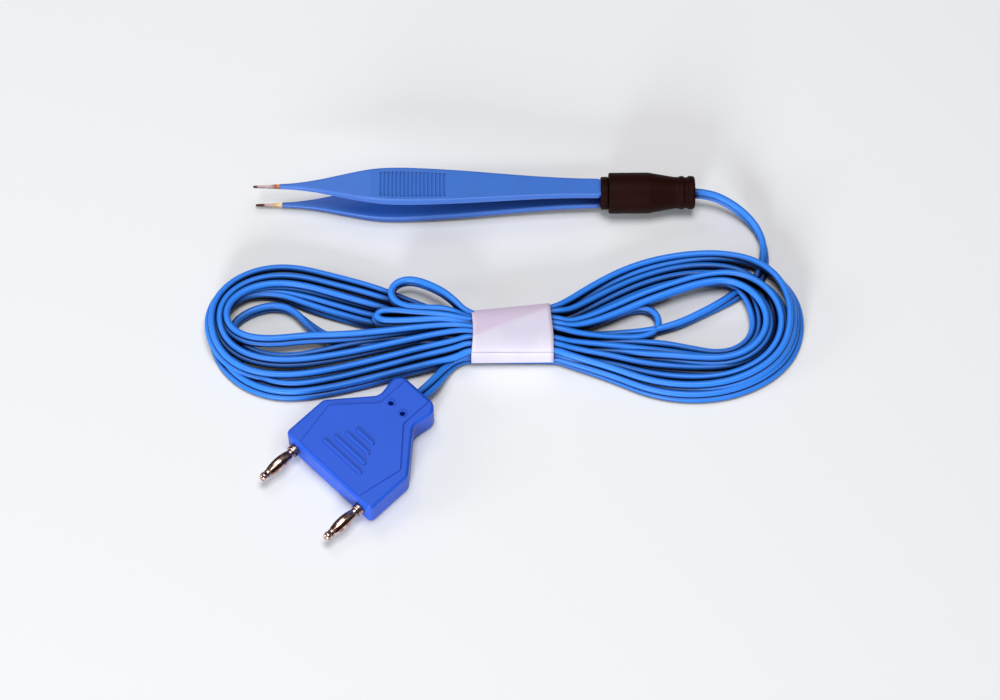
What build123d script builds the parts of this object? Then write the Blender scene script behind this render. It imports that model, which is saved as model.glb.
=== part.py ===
from build123d import *
import math
import os

# Bipolar forceps with a banded twin lead and a two-pin plug. Sizes are in millimetres.
# X runs along the forceps with the tips towards -X, Y points away from the viewer, Z is up.
# The origin is on the table, under the middle of the forceps and its connector.

# Arms: every distance along an arm is taken from the collar's front face towards the tip.
arm_length = 104.4
arm_belly_at = 66.0
arm_bend_at = 75.0
arm_root_width = 6.7
arm_belly_width = 12.9
arm_nose_width = 1.75
arm_root_thickness = 2.1
arm_belly_thickness = 3.0
arm_nose_thickness = 1.4
arm_root_spread = 3.1  # forceps axis to the middle of an arm at the collar
arm_bend_spread = 5.9
arm_tip_spread = 5.85
arm_edge_radius = 0.6
arm_seat_depth = 1.6
arm_root_straight = 3.0
arm_root_corner = 3.0
outline_steps = 7

# Finger grip: round-bottomed grooves across the outer face
groove_count = 17
groove_pitch = 1.29
groove_first_at = 50.9
groove_radius = 0.45
groove_depth = 0.28
groove_margin = 1.7

# Blades: one piece of steel each, from the bare tip to the tail in the holder
tip_length = 8.8
tip_end_width = 0.6
tip_end_thickness = 0.55
tip_end_radius = 0.2
blade_root_width = 4.0
blade_belly_width = 9.4
blade_nose_width = 1.35
blade_thickness = 0.95
blade_tail_depth = 2.1
blade_root_corner = 0.5

# Holder with its two contact pins
collar_radius = 5.4
collar_length = 2.5
collar_edge_radius = 0.5
stem_radius = 4.8
stem_length = 5.0
seat_clearance = 0.15
pin_gap = 0.15  # blade tail to contact pin
prong_radius = 1.1
prong_reach = 8.0
prong_end_radius = 0.5
prong_head_radius = 1.5
prong_head_length = 0.8

# Connector, turned outline from its front face backwards
connector_gap = 0.1
housing_length = 28.2
housing_radius = 6.7
housing_straight = 12.9
housing_neck_at = 21.6
housing_neck_radius = 5.15
housing_shoulder_blend = 6.0
housing_neck_blend = 3.0
housing_front_radius = 0.5
rib_at = 22.9
rib_width = 1.9
rib_slope = 0.4
rib_radius = 5.45
rib_edge_radius = 0.3
groove_floor_radius = 5.05
groove_edge_radius = 0.15
flange_length = 2.5
flange_edge_radius = 0.9
stem_clearance = 0.05
insert_radius = 5.3
insert_length = 10.0
socket_wall = 0.42
prong_clearance = 0.03
socket_depth = 9.0
socket_inset = 0.2
barrel_radius = 1.0
barrel_length = 2.4
wire_radius = 0.45
wire_bend_radius = 0.6
wire_run = 0.5  # straight conductor behind a barrel or before the clamp
rear_bore_radius = 4.4
rear_bore_length = 4.4
clamp_radius = 3.2
clamp_length = 3.0
clamp_at = 20.5
cable_start = 22.5

# Flat twin cable, standing on its narrow edge
cable_width = 4.4
cable_thickness = 2.2
cable_clearance = 0.05
core_spread = 1.1

# Plug, in its own frame: x along the front face, y back towards the cable
plug_middle = (-46.3, -101.2)
plug_turn = -45.3
plug_width = 38.0
plug_side = 16.5
plug_neck_width = 15.0
plug_end_width = 18.8
plug_length = 40.0
plug_end_run = 10.0  # from the neck to the end where the cable leaves
plug_corner_radii = [1.8, 3.0, 4.0, 3.6]
plug_body_thickness = 9.9
plug_edge = 0.7
panel_height = 0.35
panel_front_width = 26.4
panel_shoulder_width = 32.0
panel_shoulder_at = 16.2
panel_neck_width = 10.4
panel_neck_lead = 2.0
panel_inset = 1.0
panel_corner_radii = [0.4, 0.8, 0.8, 0.4]
bar_count = 4
bar_first_at = 6.5
bar_pitch = 3.25
bar_length = 17.0
bar_step = 3.1
bar_width = 1.3
bar_height = 0.4
peg_hole_spacing = 5.2
peg_hole_from_end = 9.8
peg_hole_radius = 0.85
peg_hole_depth = 3.0
peg_rim_width = 0.5
peg_rim_height = 0.15

# Plug pins and what holds them
pin_spacing = 28.8
pin_collar_radius = 2.0
pin_collar_length = 2.0
pin_groove_at = 1.25
pin_groove_width = 0.25
pin_groove_depth = 0.2
pin_length = 15.2
pin_spindle_radius = 0.95
pin_ball_radius = 1.5
pin_root_radius = 1.6
pin_root_length = 9.0
pin_cup_radius = 1.2
pin_cup_length = 3.0
spring_gap = 0.05
spring_ring_radius = 1.35
spring_ring_length = 0.8
spring_ball_overlap = 0.35  # the front ring reaches back over the ball
spring_bulge_radius = 2.0
spring_wall = 0.25
spring_leaves = 4
spring_slot = 0.75
carrier_width = 35.0
carrier_height = 6.6
carrier_front = 2.0
carrier_depth = 6.0
pin_wire_bend_radius = 1.2
pin_wire_spread = 1.8
pin_wire_straight = 1.5

# Paper band, wider on its right side
band_left = -1.4
band_right = 24.8
band_near = -59.8
band_left_width = 17.0
band_right_width = 19.4
band_height = 9.5
band_corner = 2.2
band_wall = 0.25
lap_thickness = 0.15
lap_height = 7.6

# Places that follow from the sizes above
overall_length = tip_length + arm_length + collar_length + connector_gap + housing_length
collar_x = tip_length + arm_length - overall_length / 2
housing_x = collar_x + collar_length + connector_gap
axis_height = arm_bend_spread + arm_belly_thickness / 2
plug_thickness = plug_body_thickness + 2 * panel_height
plug_neck_at = plug_length - plug_end_run
panel_neck_at = plug_neck_at - panel_neck_lead
peg_hole_at = plug_length - peg_hole_from_end
plug_place = Location((*plug_middle, 0), (0, 0, plug_turn))

# Route of the lead outside the hank, chosen by hand along the picture
lead_route = [
    (housing_x + cable_start, 0.0, axis_height),
    (75.6, 0.0, axis_height),
    (84.2, -3.4, 5.4),
    (90.6, -8.6, 3.2),
    (93.9, -15.0, 2.3),
    (94.3, -21.5, 2.25),
    (92.9, -27.5, 2.25),
]
tail_route = [
    (0.0, -58.0, 2.5),
    (-5.6, -58.7, 2.4),
    (-9.7, -62.6, 3.2),
]
tail_run_to_plug = 7.0

# Plan outline of the hank and of its eyes, and its height along X
hank_outline = [
    (-86.8, -47.5), (-84.0, -36.0), (-76.0, -28.0), (-62.9, -25.1), (-42.1, -29.0), (-20.0, -37.0),
    (0.0, -43.4), (23.0, -41.4), (43.6, -29.5), (60.0, -22.0), (76.0, -20.2), (93.0, -22.8),
    (103.5, -33.0), (105.6, -47.0), (99.0, -62.0), (86.0, -70.2), (69.0, -73.2), (45.0, -66.9),
    (24.0, -59.2), (0.0, -59.2), (-20.0, -63.4), (-45.0, -70.0), (-62.5, -71.3), (-79.0, -63.0),
]
left_eye = [(-74.0, -46.0), (-56.0, -41.6), (-36.0, -46.8), (-54.0, -50.8)]
right_eye = [(45.0, -46.4), (62.0, -39.6), (80.0, -35.4), (87.6, -44.0), (80.0, -55.0), (62.0, -50.4)]
hank_side = [(-90, 5.2), (-36, 6.6), (-10, 9.2), (34, 9.2), (58, 6.8), (110, 5.2)]


def ease(share):
    """Smooth step from 0 to 1."""
    return 0.5 - 0.5 * math.cos(math.pi * share)


def width_at(distance, root, belly, nose):
    """Width of an arm or blade at a distance from the collar."""
    if distance <= arm_belly_at:
        share = (distance - arm_root_straight) / (arm_belly_at - arm_root_straight)
        return root + (belly - root) * ease(max(share, 0))
    share = (distance - arm_belly_at) / (arm_length - arm_belly_at)
    return belly + (nose - belly) * ease(share)


def middle_at(distance):
    """Height of an arm's middle above the forceps axis."""
    if distance <= arm_bend_at:
        rise = arm_bend_spread - arm_root_spread
        return arm_root_spread + rise * distance / arm_bend_at
    share = (distance - arm_bend_at) / (arm_length + tip_length - arm_bend_at)
    return arm_bend_spread + (arm_tip_spread - arm_bend_spread) * share


def arm_plan(root, belly, nose, tail, corner):
    """Outline of an arm seen from above, as a face on the table."""
    rear_run = arm_belly_at - arm_root_straight
    rear = [arm_root_straight + rear_run * i / outline_steps for i in range(outline_steps + 1)]
    front_run = arm_length - arm_belly_at
    front = [arm_belly_at + front_run * i / outline_steps for i in range(1, outline_steps + 1)]
    points = [(collar_x - s, width_at(s, root, belly, nose) / 2) for s in rear + front]
    side = Spline(*points, tangents=[(-1, 0), (-1, 0)])
    other = mirror(side, Plane.XZ)
    start = (collar_x + tail, root / 2)
    back = FilletPolyline(other @ 0, (start[0], -start[1]), start, side @ 0, radius=corner)
    return make_face(side + Line(side @ 1, other @ 1) + other + back)


def arm_side(stations):
    """Side view of an arm as a face; stations are (distance, thickness)."""
    outer = [(collar_x - s, middle_at(s) + t / 2) for s, t in stations]
    inner = [(collar_x - s, middle_at(s) - t / 2) for s, t in reversed(stations)]
    return Plane.XZ * make_face(Polyline(*outer, *inner, close=True))


def crossed(plan, side):
    """Solid that has one face as its plan and the other as its side view."""
    tall = extrude(plan, amount=2 * axis_height, both=True)
    wide = extrude(side, amount=arm_belly_width, both=True)
    return (tall & wide).solid()


def long_edges(shape, length):
    """Edges that run along the forceps for more than a length."""
    return [e for e in shape.edges() if e.bounding_box().size.X > length]


def upper_blade():
    """Steel leaf of the upper arm, above the plane z = 0 as the forceps axis."""
    width = blade_root_width
    plan = arm_plan(width, blade_belly_width, blade_nose_width, blade_tail_depth, blade_root_corner)
    nose_x = collar_x - arm_length
    tip_x = nose_x - tip_length
    half_nose = blade_nose_width / 2
    half_tip = tip_end_width / 2
    wide_end = [(nose_x, -half_nose), (nose_x, half_nose)]
    tip = Polygon(*wide_end, (tip_x, half_tip), (tip_x, -half_tip), align=None)
    side = arm_side([
        (-blade_tail_depth, blade_thickness),
        (arm_bend_at, blade_thickness),
        (arm_length, blade_thickness),
        (arm_length + tip_length, tip_end_thickness),
    ])
    blade = crossed(plan + tip, side)
    ends = [e for e in blade.edges().filter_by(Axis.Z) if e.center().X < tip_x + half_tip]
    return fillet(ends, tip_end_radius).solid()


def finger_grooves():
    """Cutters for the grooves in the upper arm's outer face."""
    cutters = []
    for i in range(groove_count):
        s = groove_first_at + groove_pitch * i
        thickness = arm_root_thickness + (arm_belly_thickness - arm_root_thickness) * s / arm_bend_at
        face_height = middle_at(s) + thickness / 2
        length = width_at(s, arm_root_width, arm_belly_width, arm_nose_width) - 2 * groove_margin
        place = Location((collar_x - s, 0, face_height + groove_radius - groove_depth), (90, 0, 0))
        cutters.append(place * Cylinder(groove_radius, length))
    return cutters


def upper_arm_cover(blade):
    """Blue insulation of the upper arm, moulded round its blade."""
    plan = arm_plan(arm_root_width, arm_belly_width, arm_nose_width, arm_seat_depth, arm_root_corner)
    side = arm_side([
        (-arm_seat_depth, arm_root_thickness),
        (arm_bend_at, arm_belly_thickness),
        (arm_length, arm_nose_thickness),
    ])
    cover = crossed(plan, side)
    cover = fillet(long_edges(cover, arm_length / 5), arm_edge_radius)
    return (cover - finger_grooves() - blade).solid()


def rod(radius, start, end, height=0.0):
    """Cylinder along X from one x to another, at a height above the forceps axis."""
    place = Location((start, 0, axis_height + height), (0, 90, 0))
    return place * Cylinder(radius, end - start, align=(Align.CENTER, Align.CENTER, Align.MIN))


def cable_bore(start, end, clearance):
    """Upright slot along the forceps axis, shaped like the flat cable."""
    section = SlotOverall(cable_width + 2 * clearance, cable_thickness + 2 * clearance)
    return Location((start, 0, axis_height), (0, 90, 0)) * extrude(section, end - start)


def prong(side):
    """Contact pin behind one arm; side is 1 for the upper and -1 for the lower."""
    start = collar_x + blade_tail_depth + pin_gap
    end = collar_x + collar_length + stem_length + prong_reach
    height = side * arm_root_spread
    body = rod(prong_radius, start, end, height)
    tip = body.edges().filter_by(GeomType.CIRCLE).sort_by(Axis.X)[-1]
    head = rod(prong_head_radius, start, start + prong_head_length, height)
    return (fillet(tip, prong_end_radius) + head).solid()


def arm_holder(prongs):
    """Black collar with a seat for each arm and a stem for the connector."""
    collar = rod(collar_radius, collar_x, collar_x + collar_length)
    rims = collar.edges().filter_by(GeomType.CIRCLE)
    collar = fillet(rims, collar_edge_radius)
    holder = collar + rod(stem_radius, collar_x + collar_length / 2, collar_x + collar_length + stem_length)
    grow = 2 * seat_clearance
    depth = arm_seat_depth + seat_clearance
    plan = arm_plan(arm_root_width + grow, arm_belly_width, arm_nose_width, depth, arm_root_corner)
    seat = extrude(plan, (arm_root_thickness + grow) / 2, both=True)
    tail_length = blade_tail_depth + pin_gap
    tail = Box(tail_length, blade_root_width + grow, blade_thickness + grow)
    for side in (1, -1):
        height = axis_height + side * middle_at(-tail_length / 2)
        holder -= Pos(0, 0, height) * seat
        holder -= Pos(collar_x + tail_length / 2, 0, height) * tail
    for pin in prongs:
        holder -= pin
    return holder.solid()


def housing_outline():
    """Turned outline of the connector as (distance, radius, corner radius)."""
    flange_at = housing_length - flange_length
    return [
        (0, housing_radius, housing_front_radius),
        (housing_straight, housing_radius, housing_shoulder_blend),
        (housing_neck_at, housing_neck_radius, housing_neck_blend),
        (rib_at, housing_neck_radius, groove_edge_radius),
        (rib_at + rib_slope, rib_radius, rib_edge_radius),
        (rib_at + rib_width - rib_slope, rib_radius, rib_edge_radius),
        (rib_at + rib_width, groove_floor_radius, groove_edge_radius),
        (flange_at, groove_floor_radius, groove_edge_radius),
        (flange_at + rib_slope, rib_radius, rib_edge_radius),
        (housing_length, rib_radius, flange_edge_radius),
    ]


def connector_housing():
    """Black moulded body of the connector with its bores."""
    corners = housing_outline()
    points = [(housing_x + at, axis_height + radius) for at, radius, _ in corners]
    start = (housing_x, axis_height)
    end = (housing_x + housing_length, axis_height)
    edge = FilletPolyline(start, *points, end, radius=[corner for _, _, corner in corners])
    face = Plane.XZ * make_face(edge + Line(end, start))
    housing = revolve(face, Axis((0, 0, axis_height), (1, 0, 0)))
    stem_end = housing_x + stem_length
    insert_end = stem_end + insert_length
    housing -= rod(stem_radius + stem_clearance, housing_x, stem_end)
    housing -= rod(insert_radius, stem_end, insert_end)
    housing -= rod(rear_bore_radius, insert_end, insert_end + rear_bore_length)
    housing -= rod(clamp_radius, insert_end, housing_x + clamp_at + clamp_length)
    housing -= cable_bore(housing_x + clamp_at, housing_x + housing_length, cable_clearance)
    return housing.solid()


def contact_socket(side):
    """Sleeve that a prong slides into, with its crimp barrel behind."""
    height = side * arm_root_spread
    start = housing_x + stem_length + socket_inset
    end = housing_x + stem_length + insert_length
    bore = prong_radius + prong_clearance
    sleeve = rod(bore + socket_wall, start, end, height) - rod(bore, start, start + socket_depth, height)
    barrel = rod(barrel_radius, end, end + barrel_length, height)
    barrel -= rod(wire_radius, end + barrel_length / 3, end + barrel_length, height)
    return (sleeve + barrel).solid()


def wire(points, radius):
    """Round copper strand along straight runs joined by arcs."""
    path = FilletPolyline(*points, radius=radius)
    return sweep(Plane(path @ 0, z_dir=path % 0) * Circle(wire_radius), path).solid()


def connector_conductor(side):
    """Bared conductor from a crimp barrel to the end of the cable."""
    barrel_end = housing_x + stem_length + insert_length + barrel_length
    high = axis_height + side * arm_root_spread
    low = axis_height + side * core_spread
    points = [
        (barrel_end - barrel_length * 2 / 3, 0, high),
        (barrel_end + wire_run, 0, high),
        (housing_x + clamp_at - wire_run, 0, low),
        (housing_x + cable_start, 0, low),
    ]
    return wire(points, wire_bend_radius)


def socket_insert():
    """Insulating carrier that holds both sockets in the connector."""
    start = housing_x + stem_length
    carrier = rod(insert_radius, start, start + insert_length)
    hole = prong_radius + prong_clearance + socket_wall
    for side in (1, -1):
        carrier -= rod(hole, start, start + insert_length, side * arm_root_spread)
    return carrier.solid()


def cord_clamp():
    """Crimped ring that grips the cable inside the connector."""
    start = housing_x + clamp_at
    ring = rod(clamp_radius, start, start + clamp_length)
    return (ring - cable_bore(start, start + clamp_length, 0)).solid()


def tangent_radii(route):
    """Radius at each inner point: 0.45 of the shorter run over the tangent of half the turn."""
    points = [Vector(*p) for p in route]
    radii = []
    for before, here, after in zip(points, points[1:], points[2:]):
        turn = (here - before).get_angle(after - here)
        shorter = min((here - before).length, (after - here).length)
        radii.append(0.45 * shorter / math.tan(math.radians(turn / 2)))
    return radii


def cable_tube(name, route):
    """Flat cable along a route, upright all the way."""
    radii = tangent_radii(route)
    print(name, "radii", [round(r, 1) for r in radii])
    path = FilletPolyline(*route, radius=radii)
    along = path % 0
    start = Plane(path @ 0, x_dir=along.cross(Vector(0, 0, 1)), z_dir=along)
    section = start * SlotOverall(cable_width, cable_thickness, rotation=90)
    tube = sweep(section, path).solid()
    expected = round(section.area * path.length, 1)
    print(name, "length", round(path.length, 1), "volume", round(tube.volume, 1), "expected", expected)
    return tube


def band_block(grow):
    """Solid of the band's outer shape, grown on every side but the table's."""
    def section(x, width):
        middle = band_near + width / 2
        height = band_height + grow
        place = Plane((x, middle, height / 2), x_dir=(0, 1, 0), z_dir=(1, 0, 0))
        return place * RectangleRounded(width + 2 * grow, height, band_corner + grow)
    return loft([section(band_left, band_left_width), section(band_right, band_right_width)]).solid()


def band_inside():
    """Space inside the band."""
    def section(x, width):
        middle = band_near + width / 2
        place = Plane((x, middle, band_height / 2), x_dir=(0, 1, 0), z_dir=(1, 0, 0))
        inner = RectangleRounded(width - 2 * band_wall, band_height - 2 * band_wall, band_corner - band_wall)
        return place * inner
    return loft([section(band_left, band_left_width), section(band_right, band_right_width)]).solid()


def paper_band():
    """Paper strip round the hank, with its lap on the near side."""
    block = band_block(0)
    band = block - band_inside()
    length = band_right - band_left
    low_near = Location(((band_left + band_right) / 2, band_near, lap_height / 2 + band_wall))
    window = low_near * Box(length, 2 * band_corner, lap_height)
    lap = (band_block(lap_thickness) - block) & window
    return (band + lap).solid()


def cable_hank():
    """Outer shape of the wound cable, pinched by the band and open at its eyes."""
    plan = make_face(Spline(*hank_outline, periodic=True))
    for eye in (left_eye, right_eye):
        plan -= make_face(Spline(*eye, periodic=True))
    low = (hank_side[0][0], 0)
    far = (hank_side[-1][0], 0)
    side = Plane.XZ * make_face(Polyline(low, *hank_side, far, close=True))
    hank = extrude(plan, 2 * band_height) & extrude(side, amount=overall_length, both=True)
    band_middle = Pos((band_left + band_right) / 2, 0, 0)
    under_band = hank & band_middle * Box(band_right - band_left, 2 * overall_length, 4 * band_height)
    return (hank - under_band + (under_band & band_inside())).solid()


def plug_outline(half_points, radii):
    """Closed outline from the points of its right half, front to back."""
    left = [(-x, y) for x, y in reversed(half_points)]
    corners = [*radii, *reversed(radii)]
    return make_face(FilletPolyline(*half_points, *left, radius=corners, close=True))


def plug_shell():
    """Moulded body of the plug without its cavities."""
    body_half = [
        (plug_width / 2, 0),
        (plug_width / 2, plug_side),
        (plug_neck_width / 2, plug_neck_at),
        (plug_end_width / 2, plug_length),
    ]
    body = extrude(plug_outline(body_half, plug_corner_radii), plug_body_thickness)
    rims = body.faces().filter_by(Axis.Z).edges()
    body = Pos(0, 0, panel_height) * chamfer(rims, plug_edge)
    panel_half = [
        (panel_front_width / 2, panel_inset),
        (panel_shoulder_width / 2, panel_shoulder_at),
        (panel_neck_width / 2, panel_neck_at),
        (panel_neck_width / 2, plug_length - panel_inset),
    ]
    panel = extrude(plug_outline(panel_half, panel_corner_radii), plug_thickness)
    shell = body + panel
    for i in range(bar_count):
        bar = extrude(SlotOverall(bar_length - bar_step * i, bar_width), bar_height)
        shell += Pos(0, bar_first_at + bar_pitch * i, plug_thickness) * bar
    for side in (1, -1):
        at = Pos(side * peg_hole_spacing / 2, peg_hole_at, plug_thickness)
        shell += at * extrude(Circle(peg_hole_radius + peg_rim_width), peg_rim_height)
        shell -= at * Cylinder(peg_hole_radius, 2 * peg_hole_depth)
    return shell.solid()


def plug_rod(radius, start, end, side):
    """Cylinder along a pin's axis in the plug's frame; y falls towards the pin's tip."""
    place = Location((side * pin_spacing / 2, start, plug_thickness / 2), (90, 0, 0))
    return place * Cylinder(radius, start - end, align=(Align.CENTER, Align.CENTER, Align.MIN))


def pin_core(side):
    """Turned pin: solder cup, root, stepped collar, spindle and ball end."""
    core = plug_rod(pin_root_radius, pin_root_length, 0, side)
    cup_end = pin_root_length + pin_cup_length
    core += plug_rod(pin_cup_radius, cup_end, pin_root_length, side)
    core -= plug_rod(wire_radius, cup_end, pin_root_length + pin_cup_length / 3, side)
    groove_end = pin_groove_at + pin_groove_width
    core += plug_rod(pin_collar_radius, 0, -pin_groove_at, side)
    core += plug_rod(pin_collar_radius - pin_groove_depth, -pin_groove_at, -groove_end, side)
    core += plug_rod(pin_collar_radius, -groove_end, -pin_collar_length, side)
    ball_at = -pin_length + pin_ball_radius
    core += plug_rod(pin_spindle_radius, 0, ball_at, side)
    core += Pos(side * pin_spacing / 2, ball_at, plug_thickness / 2) * Sphere(pin_ball_radius)
    return core.solid()


def pin_spring(side):
    """Lantern spring: two rings joined by bulging leaves."""
    front = -pin_collar_length - spring_gap
    back = -pin_length + 2 * pin_ball_radius - spring_ball_overlap
    ring = spring_ring_radius
    mid = (front + back) / 2

    def bulge(shrink):
        arc = ThreePointArc(
            (ring - shrink, front - spring_ring_length),
            (spring_bulge_radius - shrink, mid),
            (ring - shrink, back + spring_ring_length),
        )
        ends = Line((ring - shrink, front), arc @ 0) + Line(arc @ 1, (ring - shrink, back))
        return arc + ends

    outer = bulge(0)
    inner = bulge(spring_wall)
    rims = Line((ring, front), (ring - spring_wall, front)) + Line((ring, back), (ring - spring_wall, back))
    leaf = revolve(make_face(outer + inner + rims), Axis.Y)
    slot_length = front - back - 2 * spring_ring_length
    for i in range(spring_leaves // 2):
        cutter = Box(spring_slot, slot_length, 4 * spring_bulge_radius)
        turn = 45 + 360 / spring_leaves * i
        leaf -= Location((0, mid, 0), (0, turn, 0)) * cutter
    return (Pos(side * pin_spacing / 2, 0, plug_thickness / 2) * leaf).solid()


def plug_carrier(cores):
    """Hard inner bar that holds both pins at their spacing."""
    middle = (0, carrier_front + carrier_depth / 2, plug_thickness / 2)
    carrier = Location(middle) * Box(carrier_width, carrier_depth, carrier_height)
    for core in cores:
        carrier -= core
    return carrier.solid()


def pin_conductor(side):
    """Bared conductor from a pin's solder cup to the end of the cable."""
    cup = pin_root_length + pin_cup_length
    height = plug_thickness / 2
    points = [
        (side * pin_spacing / 2, cup - pin_cup_length * 2 / 3, height),
        (side * pin_spacing / 2, cup + pin_wire_straight, height),
        (side * pin_wire_spread, panel_neck_at, height),
        (side * core_spread, plug_length, height),
    ]
    return wire(points, pin_wire_bend_radius)


def make_parts():
    """Every node of the part, by name."""
    parts = {}
    to_axis = Pos(0, 0, axis_height)
    blade = upper_blade()
    cover = upper_arm_cover(blade)
    parts["upper_blade"] = to_axis * blade
    parts["upper_arm_cover"] = to_axis * cover
    parts["lower_blade"] = to_axis * mirror(blade, Plane.XY)
    parts["lower_arm_cover"] = to_axis * mirror(cover, Plane.XY)

    sides = {"upper": 1, "lower": -1}
    prongs = {name: prong(side) for name, side in sides.items()}
    sockets = {side: contact_socket(side) for side in sides.values()}
    for name, side in sides.items():
        parts[name + "_prong"] = prongs[name]
        parts[name + "_socket"] = sockets[side]
        parts[name + "_conductor"] = connector_conductor(side)
    parts["arm_holder"] = arm_holder(prongs.values())
    parts["connector_housing"] = connector_housing()
    parts["socket_insert"] = socket_insert()
    parts["cord_clamp"] = cord_clamp()

    pin_sides = {"left": -1, "right": 1}
    cores = {name: pin_core(side) for name, side in pin_sides.items()}
    wires = {name: pin_conductor(side) for name, side in pin_sides.items()}
    carrier = plug_carrier(cores.values())
    shell = plug_shell() - carrier
    for name, side in pin_sides.items():
        shell = shell - cores[name] - wires[name]
        parts[name + "_pin_core"] = plug_place * cores[name]
        parts[name + "_pin_spring"] = plug_place * pin_spring(side)
        parts[name + "_pin_conductor"] = plug_place * wires[name]
    parts["plug_carrier"] = plug_place * carrier
    parts["plug_housing"] = plug_place * shell.solid()

    band = paper_band()
    hank = cable_hank()
    entry = (plug_place * Pos(0, plug_length, plug_thickness / 2)).position
    before = (plug_place * Pos(0, plug_length + tail_run_to_plug, plug_thickness / 2)).position
    tail = cable_tube("cable_tail", tail_route + [tuple(before), tuple(entry)])
    lead = cable_tube("cable_lead", lead_route)
    parts["paper_band"] = band
    parts["cable_hank"] = hank
    parts["cable_tail"] = (tail - hank - band).solids().sort_by(SortBy.VOLUME)[-1]
    parts["cable_lead"] = (lead - hank).solids().sort_by(SortBy.VOLUME)[-1]
    return parts


os.makedirs("parts", exist_ok=True)
for node, shape in make_parts().items():
    export_step(shape, f"parts/{node}.step")

# Where an arm pivots, and how far it closes before the tips meet
hinge_x = collar_x + blade_tail_depth / 2
reach = hinge_x + overall_length / 2
tip_inside = arm_tip_spread - tip_end_thickness / 2
print("hinge x", hinge_x, "height", axis_height, "+/-", middle_at(-blade_tail_depth / 2))
print("closing angle", math.degrees(math.asin(tip_inside / reach)))
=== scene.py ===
import bpy
import bmesh
import math
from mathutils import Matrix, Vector


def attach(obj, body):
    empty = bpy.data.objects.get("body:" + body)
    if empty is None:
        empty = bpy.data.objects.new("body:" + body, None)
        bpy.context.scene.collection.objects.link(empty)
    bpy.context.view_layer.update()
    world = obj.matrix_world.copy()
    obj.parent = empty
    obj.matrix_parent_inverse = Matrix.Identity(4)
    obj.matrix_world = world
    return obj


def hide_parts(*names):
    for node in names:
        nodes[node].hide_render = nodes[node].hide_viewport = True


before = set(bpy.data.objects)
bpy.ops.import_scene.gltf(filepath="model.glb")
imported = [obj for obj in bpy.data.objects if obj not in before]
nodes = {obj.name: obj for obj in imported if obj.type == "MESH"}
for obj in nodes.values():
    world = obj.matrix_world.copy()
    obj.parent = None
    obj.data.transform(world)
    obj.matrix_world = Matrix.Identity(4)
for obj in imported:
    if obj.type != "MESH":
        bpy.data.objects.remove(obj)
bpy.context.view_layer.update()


def metres(points):
    return [tuple(value / 1000 for value in point) for point in points]


# camera: long lens, looking down at the table from the near side
cameraValues = dict(target=(0.00779, -0.05382, 0.0), azimuth=-0.546, elevation=62.0, distance=0.950, lens=106.57,
                    sensor=36, nearest=0.01)


def makeCamera(v):
    data = bpy.data.cameras.new("camera")
    data.lens = v["lens"]
    data.sensor_width = v["sensor"]
    data.clip_start = v["nearest"]
    camera = bpy.data.objects.new("camera", data)
    bpy.context.scene.collection.objects.link(camera)
    turn = math.radians(v["azimuth"])
    rise = math.radians(v["elevation"])
    way = Vector((math.cos(rise) * math.sin(turn), -math.cos(rise) * math.cos(turn), math.sin(rise)))
    camera.location = Vector(v["target"]) + way * v["distance"]
    camera.rotation_euler = way.to_track_quat("Z", "Y").to_euler()
    bpy.context.scene.camera = camera


makeCamera(cameraValues)
print("camera set")

# the twin cable: out of the connector, three small loops, seven turns on the right, six on the left, then the plug
leadRoute = [(0.0663, 0, 0.0074), (0.0756, 0, 0.0074), (0.0842, -0.0034, 0.0054), (0.0906, -0.0086, 0.0032),
             (0.0939, -0.0150, 0.0023), (0.0943, -0.0215, 0.00225), (0.0929, -0.0275, 0.00225)]
tailRoute = [(0, -0.058, 0.0025), (-0.0056, -0.0587, 0.0024), (-0.0097, -0.0626, 0.0032), (-0.0130, -0.0682, 0.0050),
             (-0.0179, -0.07305, 0.0053)]
leadTwists = [0, 0, 0, 0, 5, 25, 60]
tailTwists = [0, 10, 30, 60, 80]
# climb: how many points at a turn's end rise into the band, and how fast, gap: air under a resting cable in mm
cableValues = dict(coreRadius=0.0011, coreSpacing=0.00215, sides=14, resolution=6, gap=0.02, climbPoints=3,
                   climbShare=0.75, climbStep=0.25, climbPower=1.5)
# paper band, in mm and degrees like the guides below: its box, its sheet and lap, then the room for the cable in it
bandValues = dict(
    left=-1.4, right=24.8, near=-59.8, leftWidth=17.0, rightWidth=19.4, height=9.5, roundness=3.6, farDrop=0.07,
    creaseStart=-54, creaseSlope=0.33, creaseBend=0.004,
    wall=0.25, sheet=0.16, firstTurn=-25, lastTurn=398, lapSkew=6, lapStep=0.2, lapFlare=0.3, flareTurn=22,
    lapStart=260, lapRise=60, tuckTurn=40, edgeBow=0.6, farSlant=1.1, slantStart=0.35, widthSteps=20, roundSteps=140,
    lastColumn=8, margin=1.15, upperMargin=0.75, lowLayer=2.3, overshoot=0.6,
)
rightInner = [(30, -49.2), (37, -47.3), (45, -43.9), (54, -39.6), (63, -36.2), (72, -33.6), (79.5, -33),
              (85.2, -36.2), (88.7, -41.6), (89.9, -47.4), (88, -52.6), (83.4, -56.4), (77, -57.6), (69.5, -56),
              (61, -53.8), (52, -53), (42, -53), (30, -53.2)]
rightOuter = [(30, -39.2), (37, -33.8), (46, -28), (56, -23.8), (68, -21.4), (80, -20.9), (91, -23.2), (99.3, -29),
              (103.6, -37.6), (104.2, -46.8), (102.1, -55.6), (96.8, -62.8), (88.4, -68.4), (78.6, -71.8),
              (67, -72.7), (55, -70.6), (43, -65), (30, -60.2)]
leftInner = [(-6, -48), (-16, -48.4), (-29, -49.9), (-42, -50.8), (-54, -50.8), (-63, -50.2), (-70, -48.8),
             (-74.6, -46.4), (-76.2, -43), (-74.6, -39.4), (-69, -36.9), (-61.5, -36.9), (-53, -39.2),
             (-44, -42.5), (-34, -45.9), (-20, -48.8), (-6, -50.4)]
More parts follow.
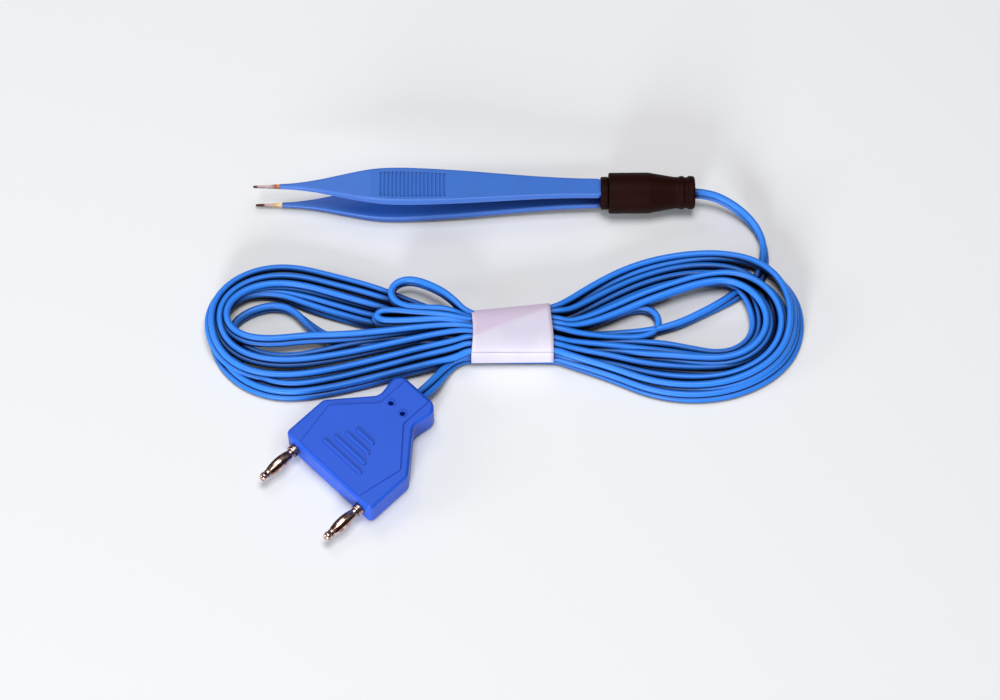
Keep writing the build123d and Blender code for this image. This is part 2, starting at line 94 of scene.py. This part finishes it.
leftOuter = [(-6, -59.5), (-17, -61.8), (-31, -65.3), (-46.5, -69.2), (-60.8, -70.9), (-72, -68.4),
             (-79.8, -62.6), (-84.2, -54.8), (-85.5, -46), (-84, -37.6), (-78.4, -30.6), (-69.5, -26),
             (-59, -25), (-46.5, -27.9), (-32, -31.7), (-19, -37.4), (-6, -43)]
# share: place between the inner and outer guide at five stations of a turn, lift: height over the table there in mm,
# lean: how far the cable leans from its edge there, inwards above zero, in degrees
rightTurns = [
    dict(share=(0.30, 0.32, 0.00, 0.02, 0.02), lift=(0, 0, 0, 0, 0), lean=(0, -20, 30, 30, 0)),
    dict(share=(0.48, 0.50, 0.15, 0.17, 0.18), lift=(0, 0, 0, 0, 0), lean=(0, -28, 35, 35, 0)),
    dict(share=(0.62, 0.70, 0.48, 0.44, 0.50), lift=(0, 0, 0, 0, 0), lean=(0, -30, 35, 30, 0)),
    dict(share=(0.00, 0.01, 0.32, 0.28, 0.30), lift=(1.5, 3.0, 4.0, 2.2, 0), lean=(0, 10, 45, 40, 0)),
    dict(share=(0.16, 0.18, 0.64, 0.70, 0.66), lift=(1.5, 3.2, 4.2, 1.4, 0), lean=(0, -10, 45, 35, 0)),
    dict(share=(1.00, 0.97, 0.82, 0.86, 0.84), lift=(0, 1.0, 4.2, 2.0, 0), lean=(0, -30, 40, 40, 0)),
    dict(share=(0.80, 0.84, 1.00, 1.00, 1.00), lift=(0, 0, 0, 0, 0), lean=(0, -30, 45, 40, 0)),
]
leftTurns = [
    dict(share=(0.02, 0.04, 0.50, 0.48, 0.45), lift=(3.5, 3.0, 4.4, 1.8, 0), lean=(0, 30, 40, -25, 0)),
    dict(share=(0.20, 0.44, 0.74, 0.72, 0.72), lift=(2.0, 1.2, 4.4, 1.2, 0), lean=(0, 35, 45, -30, 0)),
    dict(share=(0.50, 0.70, 1.00, 1.00, 0.86), lift=(1.0, 0.8, 4.4, 0.4, 0), lean=(0, 25, 40, -30, 0)),
    dict(share=(0.72, 0.86, 0.62, 0.24, 0.20), lift=(0, 0, 0, 0, 0), lean=(0, 35, 30, -10, 0)),
    dict(share=(1.00, 1.00, 0.86, 0.02, 0.04), lift=(0, 0, 0, 0, 0), lean=(0, 40, 45, -20, 0)),
]
# places in the band, as column from the near side and layer
farSlotsLeft = [(8, 1), (2.6, 0), (6.5, 0), (7.3, 0), (8, 0), (5.6, 0), (4.6, 0)]
farSlotsRight = [(6, 0), (7, 0), (7.2, 1), (5, 1), (5.9, 1), (8, 1), (8, 0)]
nearSlotsRight = [(3, 0), (2, 1), (1, 1), (2, 0), (1, 0), (0, 1), (0, 0)]
nearSlotsLeft = [(3.6, 0), (5.2, 1), (4.2, 1), (3, 1), (1.5, 1), (0, 1)]
# slots of the loops in the band, left and right, and where the cable leaves the last one
loopSlots = dict(under=((6.1, 0.85), (4, 0)), folded=((6.9, 1), (5, 0)), small=((7.5, 0.8), (4, 1)))
lastSlotEnd = 11.7
underLobe = [(91, -31.2, 1.85), (86, -34.4, 1.85), (79.5, -38.8, 2.2), (72, -42.9, 2.2), (64.5, -46.6, 2.2),
             (56, -49, 2.2), (46, -50, 2.2), (34, -50.6, 2.3)]
underTwists = [65, 50, 15, 0, 0, 0, 0, 0]
foldedTwist = 20
foldedLoop = [(-10, -46.8, 7.4), (-19, -47.2, 6.8), (-26, -47.2, 6.4), (-30.4, -46.8, 6.2), (-32.2, -44.9, 6.2),
              (-30.6, -42.8, 6.2), (-26, -42.6, 6.4), (-19, -43.8, 6.9), (-10, -45, 7.8)]
smallRightLoop = [(34, -47.2, 2.6), (42, -44.2, 2.2), (49, -40.9, 2.2), (54.6, -40.2, 2.2), (58.6, -43, 2.2),
                  (58.9, -47.6, 2.2), (55, -51.2, 2.2), (46, -52, 3), (34, -51.6, 5)]
standingLoop = [(-9, -43.3, 8), (-17, -42.7, 7.2), (-24.2, -41.5, 6.8), (-27.6, -37.2, 6.6), (-25.8, -33, 6.6),
                (-20.8, -31.6, 6.8), (-14, -34.4, 7.4), (-8, -38.8, 8)]
shortLeftTurn = [(-9, -51.4, 3.4), (-18, -50.8, 2.6), (-30, -51.3, 2.2), (-40, -53, 2.2), (-50, -55.6, 2.2),
                 (-60, -57.4, 2.2), (-69, -56.2, 2.2), (-76, -52, 2.2), (-78.6, -46.6, 2.2), (-75.2, -42, 2.2),
                 (-68.5, -38.9, 2.2), (-62.5, -38.6, 2.2), (-57.6, -41, 2.2), (-54, -44.8, 2),
                 (-50, -48.6, 1.75), (-43.5, -51.6, 1.75), (-34, -52.8, 2), (-22, -52.4, 2.4), (-10, -53.2, 2.6)]
shortTurnTwists = [0] * 12 + [10, 35, 65, 70, 40, 10, 0]


def restHeight(lean):
    """Height of the cable's middle over the table in mm when it leans by some degrees from standing on edge."""
    v = cableValues
    return 1000 * (v["coreRadius"] + v["coreSpacing"] / 2 * math.cos(math.radians(lean))) + v["gap"]


def bandSpan(x):
    """Near and far edge of the band at x."""
    v = bandValues
    share = (x - v["left"]) / (v["right"] - v["left"])
    return v["near"], v["near"] + v["leftWidth"] + (v["rightWidth"] - v["leftWidth"]) * share


def creasePlace(x):
    """Where a soft diagonal crease crosses the band's top."""
    v = bandValues
    return v["creaseStart"] + v["creaseSlope"] * x + v["creaseBend"] * x * x


def roofHeight(x, y):
    """Height of the band's outer face over a point under it."""
    v = bandValues
    near, far = bandSpan(x)
    half = (far - near) / 2
    offset = min(abs(y - near - half) / half, 1)
    rise = (1 - offset ** v["roundness"]) ** (1 / v["roundness"])
    return v["height"] / 2 * (1 + rise) - v["farDrop"] * max(y - creasePlace(x), 0) * rise


def bandSlot(x, column, layer):
    """Place of the cable in the band at x, by column from the near side and layer."""
    v = bandValues
    near, far = bandSpan(x)
    margin = v["wall"] + v["margin"] + v["upperMargin"] * layer
    y = near + margin + (far - near - 2 * margin) * column / v["lastColumn"]
    high = roofHeight(x, y) - v["wall"] - restHeight(0)
    return (x, y, v["lowLayer"] + (high - v["lowLayer"]) * layer)


def throughBand(leftSlot, rightSlot, toRight):
    """Run through the band, from just outside one mouth to just outside the other."""
    first = bandSlot(bandValues["left"] - bandValues["overshoot"], *leftSlot)
    last = bandSlot(bandValues["right"] + bandValues["overshoot"], *rightSlot)
    middle = tuple((a + b) / 2 for a, b in zip(first, last))
    run = [first, middle, last]
    return run if toRight else run[::-1]


def stationValue(values, share):
    """Value at a share of the turn, between its evenly spaced stations."""
    runs = len(values) - 1
    step = min(int(share * runs), runs - 1)
    part = share * runs - step
    return values[step] + (values[step + 1] - values[step]) * part


def turnPoints(inner, outer, turn, firstHeight, lastHeight):
    """Control points in mm of one turn between its guides, and how the cable leans at each."""
    v = cableValues
    points, leans = [], []
    count = len(inner)
    for i, (a, b) in enumerate(zip(inner, outer)):
        along = i / (count - 1)
        share = stationValue(turn["share"], along)
        lean = stationValue(turn["lean"], along)
        z = restHeight(lean) + stationValue(turn["lift"], along)
        # the ends of a turn climb into their layer of the band
        for height, away in ((firstHeight, i), (lastHeight, count - 1 - i)):
            if away < v["climbPoints"]:
                z += (height - z) * (v["climbShare"] - away * v["climbStep"]) ** v["climbPower"]
        points.append((a[0] + (b[0] - a[0]) * share, a[1] + (b[1] - a[1]) * share, z))
        leans.append(lean)
    return points, leans


def cableRoute():
    """Returns the control points in metres and each one's twist in degrees."""
    points = list(leadRoute)
    twists = list(leadTwists)
    leftMouth, rightMouth = bandValues["left"], bandValues["right"]

    def add(new, twist=0):
        points.extend(metres(new))
        twists.extend(twist if isinstance(twist, list) else [twist] * len(new))

    add(underLobe, underTwists)
    add(throughBand(*loopSlots["under"], False))
    add(foldedLoop, foldedTwist)
    add(throughBand(*loopSlots["folded"], True))
    add(smallRightLoop)
    add(throughBand(*loopSlots["small"], False))
    add(standingLoop)
    for i, rightTurn in enumerate(rightTurns):
        add(throughBand(farSlotsLeft[i], farSlotsRight[i], True))
        add(*turnPoints(rightInner, rightOuter, rightTurn, bandSlot(rightMouth, *farSlotsRight[i])[2],
                        bandSlot(rightMouth, *nearSlotsRight[i])[2]))
        if i == len(rightTurns) - 1:
            break
        add(throughBand(nearSlotsLeft[i], nearSlotsRight[i], False))
        if i == 0:
            add(shortLeftTurn, shortTurnTwists)
        else:
            add(*turnPoints(leftInner, leftOuter, leftTurns[i - 1], bandSlot(leftMouth, *nearSlotsLeft[i])[2],
                            bandSlot(leftMouth, *farSlotsLeft[i + 1])[2]))
    add([bandSlot(rightMouth + bandValues["overshoot"], 0, 0), bandSlot(lastSlotEnd, 0, 0)])
    points.extend(tailRoute)
    twists.extend(tailTwists)
    return points, twists


def routeCurve(points, twists):
    data = bpy.data.curves.new("cableRoute", "CURVE")
    data.dimensions = "3D"
    data.twist_mode = "Z_UP"
    data.resolution_u = cableValues["resolution"]
    spline = data.splines.new("NURBS")
    spline.points.add(len(points) - 1)
    for point, place, twist in zip(spline.points, points, twists):
        point.co = (*place, 1)
        point.tilt = math.radians(twist)
    spline.order_u = 3
    spline.use_endpoint_u = True
    route = bpy.data.objects.new("cableRoute", data)
    bpy.context.scene.collection.objects.link(route)
    return route


def evaluatedMesh(source, name):
    view = bpy.context.evaluated_depsgraph_get()
    mesh = bpy.data.meshes.new_from_object(source.evaluated_get(view))
    mesh.name = name
    return mesh


# colours are written as sRGB and turned linear here
def linear(hexText):
    parts = [int(hexText[i:i + 2], 16) / 255 for i in (0, 2, 4)]
    return (*[p / 12.92 if p <= 0.04045 else ((p + 0.055) / 1.055) ** 2.4 for p in parts], 1)


def addNode(tree, kind, links=(), **values):
    node = tree.nodes.new(kind)
    for name, value in values.items():
        if hasattr(node, name):
            setattr(node, name, value)
        else:
            node.inputs[name.replace("_", " ")].default_value = value
    for socket, source in dict(links).items():
        tree.links.new(source, node.inputs[socket])
    return node


def newMaterial(name, color, roughness, metallic=0.0):
    material = bpy.data.materials.new(name)
    material.use_nodes = True
    shader = material.node_tree.nodes["Principled BSDF"]
    shader.inputs["Base Color"].default_value = linear(color)
    shader.inputs["Roughness"].default_value = roughness
    shader.inputs["Metallic"].default_value = metallic
    return material, material.node_tree, shader


def noiseRamp(tree, coordinates, scale, low, high, detail=3.0, start=0.35, end=0.65):
    noise = addNode(tree, "ShaderNodeTexNoise", {"Vector": coordinates}, Scale=scale, Detail=detail)
    ramp = addNode(tree, "ShaderNodeValToRGB", {"Fac": noise.outputs["Fac"]})
    ramp.color_ramp.elements[0].position = start
    ramp.color_ramp.elements[0].color = low
    ramp.color_ramp.elements[1].position = end
    ramp.color_ramp.elements[1].color = high
    return ramp.outputs["Color"]


def grey(value):
    return (value, value, value, 1)


def bumpFrom(tree, shader, height, strength, distance):
    bump = addNode(tree, "ShaderNodeBump", {"Height": height}, Strength=strength, Distance=distance)
    tree.links.new(bump.outputs["Normal"], shader.inputs["Normal"])
    return bump


def plasticMaterial(name, color, paintedShade, roughness, grain, grainHeight, reach=0.004, openness=0.9,
                    specular=0.4, edge=0.0):
    """Moulded plastic: fine grain, patchy sheen, and painted shade: a deeper colour mixed in by ambient occlusion
    where little light gets in.
    """
    material, tree, shader = newMaterial(name, color, roughness)
    shader.inputs["Specular IOR Level"].default_value = specular
    place = addNode(tree, "ShaderNodeTexCoord").outputs["Object"]
    # painted shade: ambient occlusion blends the shade colour into gaps, creases and hollows
    hidden = addNode(tree, "ShaderNodeAmbientOcclusion", samples=8, Distance=reach)
    depth = addNode(tree, "ShaderNodeMapRange", {"Value": hidden.outputs["AO"]})
    depth.inputs["From Min"].default_value = 0.3
    depth.inputs["From Max"].default_value = openness
    tint = noiseRamp(tree, place, 90, grey(0.95), grey(1.0))
    mix = addNode(tree, "ShaderNodeMix", {"Factor": depth.outputs[0]}, data_type="RGBA")
    mix.inputs[6].default_value = linear(paintedShade)
    mix.inputs[7].default_value = linear(color)
    patchy = addNode(tree, "ShaderNodeMix", {6: mix.outputs[2], 7: tint}, data_type="RGBA", blend_type="MULTIPLY")
    patchy.inputs[0].default_value = 1.0
    tree.links.new(patchy.outputs[2], shader.inputs["Base Color"])
    sheen = noiseRamp(tree, place, 400, grey(roughness - 0.015), grey(roughness + 0.02))
    tree.links.new(sheen, shader.inputs["Roughness"])
    fine = addNode(tree, "ShaderNodeTexNoise", {"Vector": place}, Scale=grain, Detail=2.0)
    bump = bumpFrom(tree, shader, fine.outputs["Fac"], 0.5, grainHeight)
    if edge:
        rounded = addNode(tree, "ShaderNodeBevel", samples=6, Radius=edge)
        tree.links.new(rounded.outputs[0], bump.inputs["Normal"])
    return material


# paintedShade: the painted shade colour each plastic takes where ambient occlusion within reach finds it crowded
plasticValues = {
    # moulded nylon insulation, satin
    "satinBlueNylon": dict(color="3B72CE", paintedShade="0E1450", roughness=0.36, grain=2500, grainHeight=0.00002,
                           reach=0.009, openness=0.88, edge=0.0004),
    # soft PVC cable jacket, slightly glossy from the extruder
    "softBlueCable": dict(color="2E86F4", paintedShade="080530", roughness=0.38, grain=1500, grainHeight=0.00001,
                          reach=0.007, openness=1.0, specular=0.3),
    # moulded PVC of the plug, fine spark-eroded grain
    "mouldedBluePvc": dict(color="1E58D4", paintedShade="1A42AE", roughness=0.42, grain=2200, grainHeight=0.00003,
                           reach=0.001, specular=0.28, edge=0.0005),
    # grained black-brown plastic of the connector
    "grainedBlackPlastic": dict(color="200501", paintedShade="080100", roughness=0.6, grain=3000, grainHeight=0.00005,
                                specular=0.08),
    # plain inner plastic
    "palePlastic": dict(color="D8D6D0", paintedShade="8A8884", roughness=0.5, grain=1800, grainHeight=0.00002),
}
materials = {name: plasticMaterial(name, **v) for name, v in plasticValues.items()}
# bare tips of the blades along X, and the colour bands on each as (place along the tip, colour) from its end: stains,
# and on the lower tip a painted highlight in the middle of its gold band
tipValues = dict(
    start=-0.072, end=-0.0625,
    upperSatinSteel=[(0.0, "5A3F3C"), (0.12, "634644"), (0.18, "B8A2A4"), (0.6, "C2AFB0"), (0.76, "A0604A"),
                     (0.86, "C98A60"), (1.0, "7A4A38")],
    # in the lower tip's list the pale colour at 0.85 is a painted highlight between the gold
    lowerSatinSteel=[(0.0, "4E322C"), (0.26, "543832"), (0.33, "B39694"), (0.58, "C9B2AE"), (0.66, "D9B06A"),
                     (0.85, "EAD9B8"), (1.0, "B98A4A")],
)
# where the paper's crease crosses Y = 0 and its slope over X, in metres, and how softly the painted shade beyond it
# starts
paperValues = dict(creaseSlope=-0.42, creaseStart=0.0539, softness=0.0016)


def steelMaterial(name):
    """Satin steel, stained by heat along its bare tip; the lower tip's gold band carries a painted highlight."""
    bands = tipValues[name]
    material, tree, shader = newMaterial(name, "A99A9B", 0.3, metallic=1.0)
    place = addNode(tree, "ShaderNodeTexCoord").outputs["Object"]
    split = addNode(tree, "ShaderNodeSeparateXYZ", {0: place})
    along = addNode(tree, "ShaderNodeMapRange", {"Value": split.outputs["X"]})
    along.inputs["From Min"].default_value = tipValues["start"]
    along.inputs["From Max"].default_value = tipValues["end"]
    ramp = addNode(tree, "ShaderNodeValToRGB", {"Fac": along.outputs[0]})
    ramp.color_ramp.elements[0].color = linear(bands[0][1])
    ramp.color_ramp.elements[1].color = linear(bands[-1][1])
    for position, color in bands[1:-1]:
        ramp.color_ramp.elements.new(position).color = linear(color)
    spots = noiseRamp(tree, place, 1400, grey(0.55), grey(1.0), start=0.42, end=0.56)
    spotted = addNode(tree, "ShaderNodeMix", {6: ramp.outputs["Color"], 7: spots}, data_type="RGBA",
                      blend_type="MULTIPLY")
    spotted.inputs[0].default_value = 0.6
    tree.links.new(spotted.outputs[2], shader.inputs["Base Color"])
    stretch = addNode(tree, "ShaderNodeMapping", {"Vector": place}, Scale=(200, 6000, 6000))
    lines = addNode(tree, "ShaderNodeTexNoise", {"Vector": stretch.outputs[0]}, Scale=1.0, Detail=2.0)
    bumpFrom(tree, shader, lines.outputs["Fac"], 0.25, 0.00001)
    return material


def nickelMaterial():
    """Bright plating with a little warm tarnish."""
    material, tree, shader = newMaterial("brightNickel", "C9A598", 0.2, metallic=1.0)
    place = addNode(tree, "ShaderNodeTexCoord").outputs["Object"]
    stain = noiseRamp(tree, place, 700, linear("9C6A58"), linear("E0C8BE"), start=0.38, end=0.62)
    hidden = addNode(tree, "ShaderNodeAmbientOcclusion", samples=8, Distance=0.002)
    mix = addNode(tree, "ShaderNodeMix", {"Factor": hidden.outputs["AO"], 7: stain}, data_type="RGBA")
    mix.inputs[6].default_value = linear("3A1C12")
    tree.links.new(mix.outputs[2], shader.inputs["Base Color"])
    rough = noiseRamp(tree, place, 1500, grey(0.12), grey(0.24))
    tree.links.new(rough, shader.inputs["Roughness"])
    return material


def copperMaterial():
    """Bare strands, twisted finely."""
    material, tree, shader = newMaterial("strandedCopper", "C9784A", 0.3, metallic=1.0)
    place = addNode(tree, "ShaderNodeTexCoord").outputs["Object"]
    wave = addNode(tree, "ShaderNodeTexWave", {"Vector": place}, Scale=1800.0, Distortion=2.0)
    bumpFrom(tree, shader, wave.outputs["Fac"], 0.6, 0.00005)
    return material


def paperMaterial():
    """Uncoated white paper, faintly lilac, with fibres; beyond its diagonal crease painted shade makes it darker."""
    material, tree, shader = newMaterial("whitePaper", "DDD6E8", 0.85)
    place = addNode(tree, "ShaderNodeTexCoord").outputs["Object"]
    split = addNode(tree, "ShaderNodeSeparateXYZ", {0: place})
    slant = addNode(tree, "ShaderNodeMath", {0: split.outputs["X"]}, operation="MULTIPLY_ADD")
    slant.inputs[1].default_value = paperValues["creaseSlope"]
    slant.inputs[2].default_value = paperValues["creaseStart"]
    beyond = addNode(tree, "ShaderNodeMath", {0: split.outputs["Y"], 1: slant.outputs[0]}, operation="ADD")
    soft = addNode(tree, "ShaderNodeMapRange", {"Value": beyond.outputs[0]})
    soft.inputs["From Max"].default_value = paperValues["softness"]
    cloud = noiseRamp(tree, place, 90, linear("DAD1E5"), linear("E1DAEA"), detail=5.0)
    # painted shade: beyond the crease the top turns darker and pinker, standing in for the shade there
    paintedCreaseShade = addNode(tree, "ShaderNodeMix", {"Factor": soft.outputs[0], 6: cloud}, data_type="RGBA")
    paintedCreaseShade.inputs[7].default_value = linear("D9C7DE")
    tree.links.new(paintedCreaseShade.outputs[2], shader.inputs["Base Color"])
    fibres = addNode(tree, "ShaderNodeTexNoise", {"Vector": place}, Scale=1800.0, Detail=6.0, Roughness=0.7)
    bumpFrom(tree, shader, fibres.outputs["Fac"], 0.35, 0.00003)
    return material


for name in ("upperSatinSteel", "lowerSatinSteel"):
    materials[name] = steelMaterial(name)
materials["brightNickel"] = nickelMaterial()
materials["strandedCopper"] = copperMaterial()
materials["whitePaper"] = paperMaterial()
nodeMaterials = {
    "satinBlueNylon": ["upper_arm_cover", "lower_arm_cover"],
    "upperSatinSteel": ["upper_blade"],
    "lowerSatinSteel": ["lower_blade"],
    "grainedBlackPlastic": ["arm_holder", "connector_housing"],
    "mouldedBluePvc": ["plug_housing"],
    "palePlastic": ["socket_insert", "plug_carrier"],
    "brightNickel": ["upper_prong", "lower_prong", "upper_socket", "lower_socket", "cord_clamp", "left_pin_core",
                     "right_pin_core", "left_pin_spring", "right_pin_spring"],
    "strandedCopper": ["upper_conductor", "lower_conductor", "left_pin_conductor", "right_pin_conductor"],
}
for name, users in nodeMaterials.items():
    for user in users:
        for materialSlot in nodes[user].material_slots:
            materialSlot.material = materials[name]
print("materials made")


def cableTree():
    """Geometry nodes: two round cores side by side along the route."""
    tree = bpy.data.node_groups.new("twinCable", "GeometryNodeTree")
    face = tree.interface
    face.new_socket("Route", in_out="INPUT", socket_type="NodeSocketGeometry")
    face.new_socket("Core Radius", in_out="INPUT", socket_type="NodeSocketFloat")
    face.new_socket("Core Spacing", in_out="INPUT", socket_type="NodeSocketFloat")
    face.new_socket("Sides", in_out="INPUT", socket_type="NodeSocketInt")
    face.new_socket("Jacket", in_out="INPUT", socket_type="NodeSocketMaterial")
    face.new_socket("Cable", in_out="OUTPUT", socket_type="NodeSocketGeometry")
    given = addNode(tree, "NodeGroupInput").outputs
    circle = addNode(tree, "GeometryNodeCurvePrimitiveCircle",
                     {"Resolution": given["Sides"], "Radius": given["Core Radius"]})
    profiles = addNode(tree, "GeometryNodeJoinGeometry")
    for share in (0.5, -0.5):
        offset = addNode(tree, "ShaderNodeMath", {0: given["Core Spacing"]}, operation="MULTIPLY")
        offset.inputs[1].default_value = share
        place = addNode(tree, "ShaderNodeCombineXYZ", {"Y": offset.outputs[0]})
        moved = addNode(tree, "GeometryNodeTransform",
                        {"Geometry": circle.outputs["Curve"], "Translation": place.outputs[0]})
        tree.links.new(moved.outputs[0], profiles.inputs[0])
    swept = addNode(tree, "GeometryNodeCurveToMesh",
                    {"Curve": given["Route"], "Profile Curve": profiles.outputs[0]})
    swept.inputs["Fill Caps"].default_value = True
    whole = addNode(tree, "GeometryNodeRealizeInstances", {0: swept.outputs[0]})
    coated = addNode(tree, "GeometryNodeSetMaterial", {"Geometry": whole.outputs[0], "Material": given["Jacket"]})
    addNode(tree, "NodeGroupOutput", {0: coated.outputs[0]})
    return tree


def makeCable():
    v = cableValues
    points, twists = cableRoute()
    route = routeCurve(points, twists)
    path = [tuple(vertex.co) for vertex in evaluatedMesh(route, "cablePath").vertices]
    tree = cableTree()
    modifier = route.modifiers.new("twinCable", "NODES")
    modifier.node_group = tree
    given = {item.name: item.identifier for item in tree.interface.items_tree if item.in_out == "INPUT"}
    modifier[given["Core Radius"]] = v["coreRadius"]
    modifier[given["Core Spacing"]] = v["coreSpacing"]
    modifier[given["Sides"]] = v["sides"]
    modifier[given["Jacket"]] = materials["softBlueCable"]
    mesh = evaluatedMesh(route, "cable")
    bpy.data.objects.remove(route)
    cable = bpy.data.objects.new("cable", mesh)
    bpy.context.scene.collection.objects.link(cable)
    mesh.shade_smooth()
    return cable, path


cable, cablePath = makeCable()


def bandPlace(share, turn):
    """Point of the paper strip: share across its width, turn in degrees from the near wall over the top and round."""
    v = bandValues
    middle = v["left"] + (v["right"] - v["left"]) * share
    near, far = bandSpan(middle)
    half = (far - near - v["wall"]) / 2
    angle = math.radians(180 - turn)
    power = 2 / v["roundness"]
    # the strip starts inside its own end, which laps over it on the near wall
    lap = v["lapStep"] * min(max((turn - v["lapStart"]) / v["lapRise"], 0), 1)
    lap -= v["lapStep"] * min(max((v["tuckTurn"] - turn) / v["tuckTurn"], 0), 1)
    lap += v["lapFlare"] * max((turn - v["lastTurn"] + v["flareTurn"]) / v["flareTurn"], 0) ** 2
    across = math.copysign(abs(math.cos(angle)) ** power, math.cos(angle))
    up = math.copysign(abs(math.sin(angle)) ** power, math.sin(angle))
    y = (near + far) / 2 + (half + lap) * across
    z = v["height"] / 2 + (v["height"] - v["wall"]) / 2 * up
    if up > 0:
        z -= v["farDrop"] * max(y - creasePlace(middle), 0) * up
    depth = (y - near) / (far - near)
    leftEdge = v["left"] + v["edgeBow"] * math.sin(math.pi * min(max(depth, 0), 1))
    rightEdge = v["right"] - v["farSlant"] * max(depth - v["slantStart"], 0) / (1 - v["slantStart"])
    return (leftEdge + (rightEdge - leftEdge) * share, y, z)


def makeBand():
    v = bandValues
    mesh = bpy.data.meshes.new("paperBand")
    shape = bmesh.new()
    rows = []
    for i in range(v["widthSteps"] + 1):
        share = i / v["widthSteps"]
        # the lapped end is cut a little askew
        lastTurn = v["lastTurn"] - v["lapSkew"] * share
        turns = [v["firstTurn"] + (lastTurn - v["firstTurn"]) * k / v["roundSteps"]
                 for k in range(v["roundSteps"] + 1)]
        rows.append([shape.verts.new(place) for place in metres([bandPlace(share, turn) for turn in turns])])
    for a, b in zip(rows, rows[1:]):
        for i in range(len(a) - 1):
            shape.faces.new((a[i], b[i], b[i + 1], a[i + 1]))
    bmesh.ops.recalc_face_normals(shape, faces=shape.faces)
    shape.to_mesh(mesh)
    shape.free()
    band = bpy.data.objects.new("paperBand", mesh)
    bpy.context.scene.collection.objects.link(band)
    thick = band.modifiers.new("thickness", "SOLIDIFY")
    thick.thickness = v["sheet"] / 1000
    thick.offset = 0
    mesh.materials.append(materials["whitePaper"])
    mesh.shade_smooth()
    return band


paperBand = makeBand()
print("band made")

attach(cable, "connector")
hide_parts("cable_lead", "cable_hank", "cable_tail")
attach(paperBand, "connector")
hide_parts("paper_band")

# table and light: the lamps point at the middle of the part
lightTarget = (0, -0.05, 0)
lightValues = dict(
    top=dict(place=(0.05, -0.05, 1.6), size=0.7, power=15.4, color="FFFFFF"),
    front=dict(place=(-0.42, -1.45, 0.42), size=0.42, power=18.0, color="F4FAFF"),
    left=dict(place=(-1.5, -0.3, 0.55), size=0.5, power=6.0, color="F4FAFF"),
    sheen=dict(place=(-0.42, 0.62, 1.25), size=0.5, power=2.2, color="FFFFFF"),
)


def makeLight(name, v):
    data = bpy.data.lights.new(name, "AREA")
    data.size = v["size"]
    data.energy = v["power"]
    data.color = linear(v["color"])[:3]
    lamp = bpy.data.objects.new(name, data)
    bpy.context.scene.collection.objects.link(lamp)
    lamp.location = v["place"]
    lamp.rotation_euler = (Vector(v["place"]) - Vector(lightTarget)).to_track_quat("Z", "Y").to_euler()


for lightName, lightValue in lightValues.items():
    makeLight(lightName, lightValue)


# the table lies a hair under the part, so the two never share a face
tableValues = dict(half=3, height=-0.00003, color="EEEEEF", roughness=0.9, specular=0.1)
roomValues = dict(color="F5F4F8", strength=0.12)


def makeFloor(v):
    mesh = bpy.data.meshes.new("floor")
    corners = [(x * v["half"], y * v["half"], v["height"]) for x, y in ((-1, -1), (1, -1), (1, 1), (-1, 1))]
    mesh.from_pydata(corners, [], [(0, 1, 2, 3)])
    floor = bpy.data.objects.new("floor", mesh)
    bpy.context.scene.collection.objects.link(floor)
    material, tree, shader = newMaterial("paleTable", v["color"], v["roughness"])
    shader.inputs["Specular IOR Level"].default_value = v["specular"]
    mesh.materials.append(material)


makeFloor(tableValues)
world = bpy.data.worlds.new("studio")
bpy.context.scene.world = world
world.use_nodes = True
background = world.node_tree.nodes["Background"]
background.inputs["Color"].default_value = linear(roomValues["color"])
background.inputs["Strength"].default_value = roomValues["strength"]
bpy.context.scene.view_settings.view_transform = "Standard"
print("light and table set")
